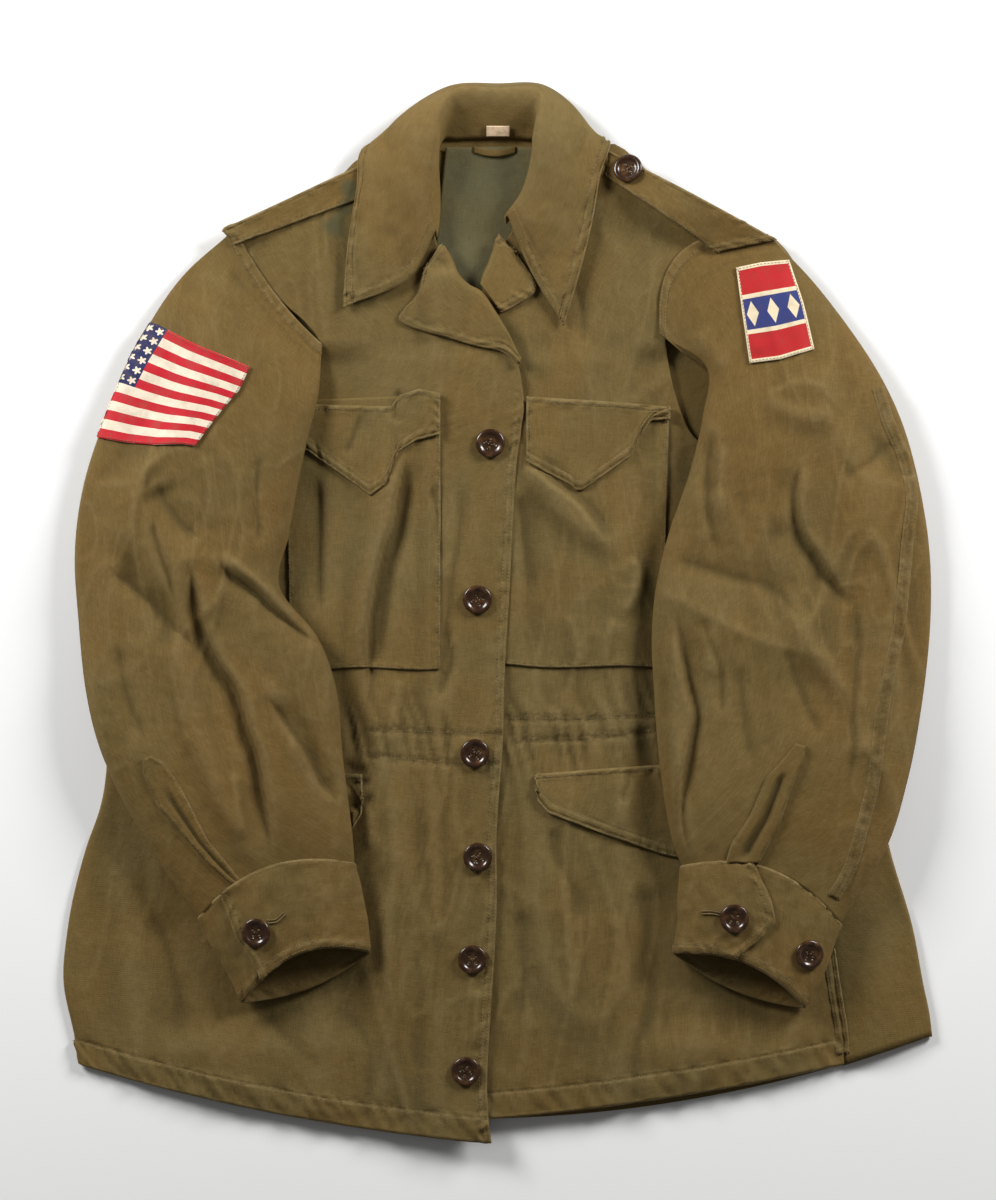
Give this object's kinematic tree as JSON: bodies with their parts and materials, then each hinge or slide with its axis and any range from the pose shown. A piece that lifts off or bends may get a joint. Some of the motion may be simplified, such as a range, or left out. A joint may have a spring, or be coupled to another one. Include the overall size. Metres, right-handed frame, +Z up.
{
  "type": "field jacket",
  "caption": "Hip-length cotton field jacket laid flat, face up, with turned-down collar, lapels, flapped chest and hip pockets, shoulder straps and buttoned cuffs.",
  "frame": {"origin": "centre of the jacket's footprint, on the plane that it lies on", "axes": "+Y from the hem to the collar, +X to the viewer's right, which is the wearer's left, +Z up off the table"},
  "size_m": [0.6799, 0.8299, 0.0393],
  "materials": {
    "sateen": "worn cotton sateen",
    "sateen_warm": "worn cotton sateen, browner",
    "inner_green": "matt green inner face",
    "button": "glossy dark brown",
    "flag_cloth": "printed cotton",
    "badge_thread": "embroidered",
    "label_tape": "woven tape"
  },
  "bodies": {
    "root": {"back": "sateen", "front_right": "sateen", "front_left": "sateen", "back_lining": "inner_green", "hanger_loop": "sateen_warm", "neck_label": "label_tape", "collar": "sateen_warm", "lapel_right": "sateen_warm", "lapel_left": "sateen_warm", "sleeve_right_upper": "sateen_warm", "sleeve_right_under": "sateen_warm", "sleeve_left_upper": "sateen_warm", "sleeve_left_under": "sateen_warm", "cuff_right": "sateen_warm", "cuff_left": "sateen_warm", "shoulder_strap_right": "sateen_warm", "shoulder_strap_left": "sateen_warm", "chest_pocket_right": "sateen", "chest_pocket_left": "sateen", "chest_flap_right": "sateen", "chest_flap_left": "sateen", "hip_flap_right": "sateen", "hip_flap_left": "sateen", "flag_patch": "flag_cloth", "sleeve_badge": "badge_thread", "button_front_1": "button", "button_front_2": "button", "button_front_3": "button", "button_front_4": "button", "button_front_5": "button", "button_front_6": "button", "button_cuff_right_1": "button", "button_cuff_left_1": "button", "button_cuff_left_2": "button", "button_strap_left": "button"}
  },
  "joints": []
}
